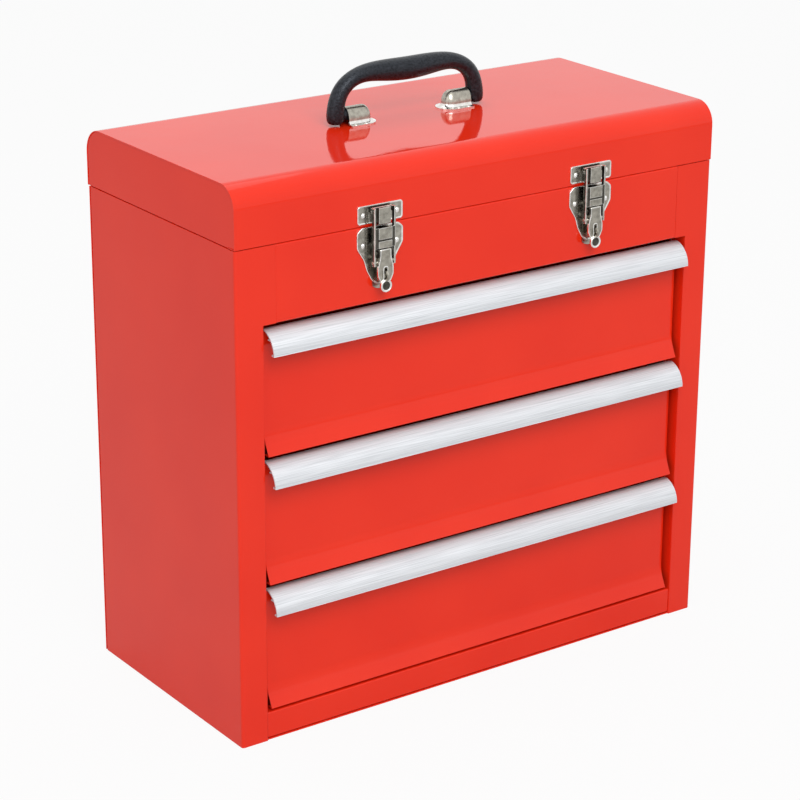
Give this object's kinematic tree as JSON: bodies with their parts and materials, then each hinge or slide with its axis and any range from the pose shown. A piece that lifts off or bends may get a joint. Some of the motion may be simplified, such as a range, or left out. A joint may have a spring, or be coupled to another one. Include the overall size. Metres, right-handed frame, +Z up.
{
  "type": "tool box",
  "caption": "Portable red steel tool box with drawers, a hinged lid over a top compartment, draw latches and a carrying handle.",
  "frame": {"origin": "middle of the cabinet's footprint, on the surface that the box stands on", "axes": "+Z up, +X to the right seen from the front, -Y out of the front, where the drawers open"},
  "size_m": [0.51, 0.2587, 0.5512],
  "materials": {
    "red_paint": "gloss",
    "nickel_plate": "polished",
    "aluminium": "satin",
    "black_plastic": "matte",
    "zinc_steel": "satin"
  },
  "bodies": {
    "cabinet": {"side_panel_left": "red_paint", "side_panel_right": "red_paint", "back_panel": "red_paint", "base_plate": "red_paint", "front_fascia": "red_paint", "bottom_rail": "red_paint", "compartment_floor": "red_paint", "slide_post_front_left": "zinc_steel", "slide_post_rear_left": "zinc_steel", "slide_post_front_right": "zinc_steel", "slide_post_rear_right": "zinc_steel", "slide_rails_1": "zinc_steel", "slide_rails_2": "zinc_steel", "slide_rails_3": "zinc_steel", "hinge_leaf_body": "zinc_steel", "hinge_pin": "zinc_steel", "body_stay_studs": "zinc_steel", "latch_base_left": "nickel_plate", "latch_base_right": "nickel_plate", "lever_pins": "nickel_plate", "latch_base_rivets": "nickel_plate"},
    "lid": {"lid_wrap": "red_paint", "lid_end_left": "red_paint", "lid_end_right": "red_paint", "hinge_leaf_lid": "zinc_steel", "lid_stay_pivots": "zinc_steel", "latch_keeper_left": "nickel_plate", "handle_strap_left": "nickel_plate", "latch_keeper_right": "nickel_plate", "handle_strap_right": "nickel_plate", "latch_keeper_rivets": "nickel_plate", "strap_rivets": "nickel_plate"},
    "handle": {"handle_grip": "black_plastic"},
    "lid_stay_left": {"lid_stay_left": "zinc_steel"},
    "lid_stay_right": {"lid_stay_right": "zinc_steel"},
    "drawer_1": {"drawer_pan_1": "red_paint", "drawer_front_1": "red_paint", "drawer_pull_1": "aluminium", "slide_runners_1": "zinc_steel"},
    "slide_carriage_left_1": {"slide_carriage_left_1": "zinc_steel"},
    "slide_carriage_right_1": {"slide_carriage_right_1": "zinc_steel"},
    "drawer_2": {"drawer_pan_2": "red_paint", "drawer_front_2": "red_paint", "drawer_pull_2": "aluminium", "slide_runners_2": "zinc_steel"},
    "slide_carriage_left_2": {"slide_carriage_left_2": "zinc_steel"},
    "slide_carriage_right_2": {"slide_carriage_right_2": "zinc_steel"},
    "drawer_3": {"drawer_pan_3": "red_paint", "drawer_front_3": "red_paint", "drawer_pull_3": "aluminium", "slide_runners_3": "zinc_steel"},
    "slide_carriage_left_3": {"slide_carriage_left_3": "zinc_steel"},
    "slide_carriage_right_3": {"slide_carriage_right_3": "zinc_steel"},
    "latch_lever_left": {"latch_lever_left": "nickel_plate", "bail_pin_left": "nickel_plate"},
    "latch_bail_left": {"latch_bail_left": "nickel_plate"},
    "latch_lever_right": {"latch_lever_right": "nickel_plate", "bail_pin_right": "nickel_plate"},
    "latch_bail_right": {"latch_bail_right": "nickel_plate"}
  },
  "joints": [
    {"name": "lid_hinge", "type": "hinge", "parent": "cabinet", "child": "lid", "pos_m": [0, 0.1225, 0.445], "axis": [-1, 0, 0], "range_deg": [0, 95]},
    {"name": "handle_pivot", "type": "hinge", "parent": "lid", "child": "handle", "pos_m": [0, 0.001, 0.5096], "axis": [1, 0, 0], "range_deg": [-85, 85]},
    {"name": "lid_stay_left_pivot", "type": "hinge", "parent": "lid", "child": "lid_stay_left", "pos_m": [-0.244, 0.08757, 0.45371], "axis": [1, 0, 0], "range_deg": [0, 47.5]},
    {"name": "lid_stay_right_pivot", "type": "hinge", "parent": "lid", "child": "lid_stay_right", "pos_m": [0.244, 0.08757, 0.45371], "axis": [1, 0, 0], "range_deg": [0, 47.5]},
    {"name": "drawer_1_slide", "type": "slide", "parent": "cabinet", "child": "drawer_1", "axis": [0, -1, 0], "range_m": [0, 0.165]},
    {"name": "slide_carriage_left_1_travel", "type": "slide", "parent": "cabinet", "child": "slide_carriage_left_1", "axis": [0, -1, 0], "range_m": [0, 0.0825]},
    {"name": "slide_carriage_right_1_travel", "type": "slide", "parent": "cabinet", "child": "slide_carriage_right_1", "axis": [0, -1, 0], "range_m": [0, 0.0825]},
    {"name": "drawer_2_slide", "type": "slide", "parent": "cabinet", "child": "drawer_2", "axis": [0, -1, 0], "range_m": [0, 0.165]},
    {"name": "slide_carriage_left_2_travel", "type": "slide", "parent": "cabinet", "child": "slide_carriage_left_2", "axis": [0, -1, 0], "range_m": [0, 0.0825]},
    {"name": "slide_carriage_right_2_travel", "type": "slide", "parent": "cabinet", "child": "slide_carriage_right_2", "axis": [0, -1, 0], "range_m": [0, 0.0825]},
    {"name": "drawer_3_slide", "type": "slide", "parent": "cabinet", "child": "drawer_3", "axis": [0, -1, 0], "range_m": [0, 0.165]},
    {"name": "slide_carriage_left_3_travel", "type": "slide", "parent": "cabinet", "child": "slide_carriage_left_3", "axis": [0, -1, 0], "range_m": [0, 0.0825]},
    {"name": "slide_carriage_right_3_travel", "type": "slide", "parent": "cabinet", "child": "slide_carriage_right_3", "axis": [0, -1, 0], "range_m": [0, 0.0825]},
    {"name": "latch_lever_left_pivot", "type": "hinge", "parent": "cabinet", "child": "latch_lever_left", "pos_m": [-0.113, -0.1265, 0.425], "axis": [-1, 0, 0], "range_deg": [0, 120]},
    {"name": "latch_bail_left_pivot", "type": "hinge", "parent": "latch_lever_left", "child": "latch_bail_left", "pos_m": [-0.113, -0.1265, 0.417], "axis": [1, 0, 0], "range_deg": [0, 120]},
    {"name": "latch_lever_right_pivot", "type": "hinge", "parent": "cabinet", "child": "latch_lever_right", "pos_m": [0.113, -0.1265, 0.425], "axis": [-1, 0, 0], "range_deg": [0, 120]},
    {"name": "latch_bail_right_pivot", "type": "hinge", "parent": "latch_lever_right", "child": "latch_bail_right", "pos_m": [0.113, -0.1265, 0.417], "axis": [1, 0, 0], "range_deg": [0, 120]}
  ],
  "couplings": [
    {"joint": "lid_stay_left_pivot", "follows": "lid_hinge", "ratio": 0.5},
    {"joint": "lid_stay_right_pivot", "follows": "lid_hinge", "ratio": 0.5},
    {"joint": "slide_carriage_left_1_travel", "follows": "drawer_1_slide", "ratio": 0.5},
    {"joint": "slide_carriage_right_1_travel", "follows": "drawer_1_slide", "ratio": 0.5},
    {"joint": "slide_carriage_left_2_travel", "follows": "drawer_2_slide", "ratio": 0.5},
    {"joint": "slide_carriage_right_2_travel", "follows": "drawer_2_slide", "ratio": 0.5},
    {"joint": "slide_carriage_left_3_travel", "follows": "drawer_3_slide", "ratio": 0.5},
    {"joint": "slide_carriage_right_3_travel", "follows": "drawer_3_slide", "ratio": 0.5},
    {"joint": "latch_bail_left_pivot", "follows": "latch_lever_left_pivot", "ratio": 1},
    {"joint": "latch_bail_right_pivot", "follows": "latch_lever_right_pivot", "ratio": 1}
  ]
}
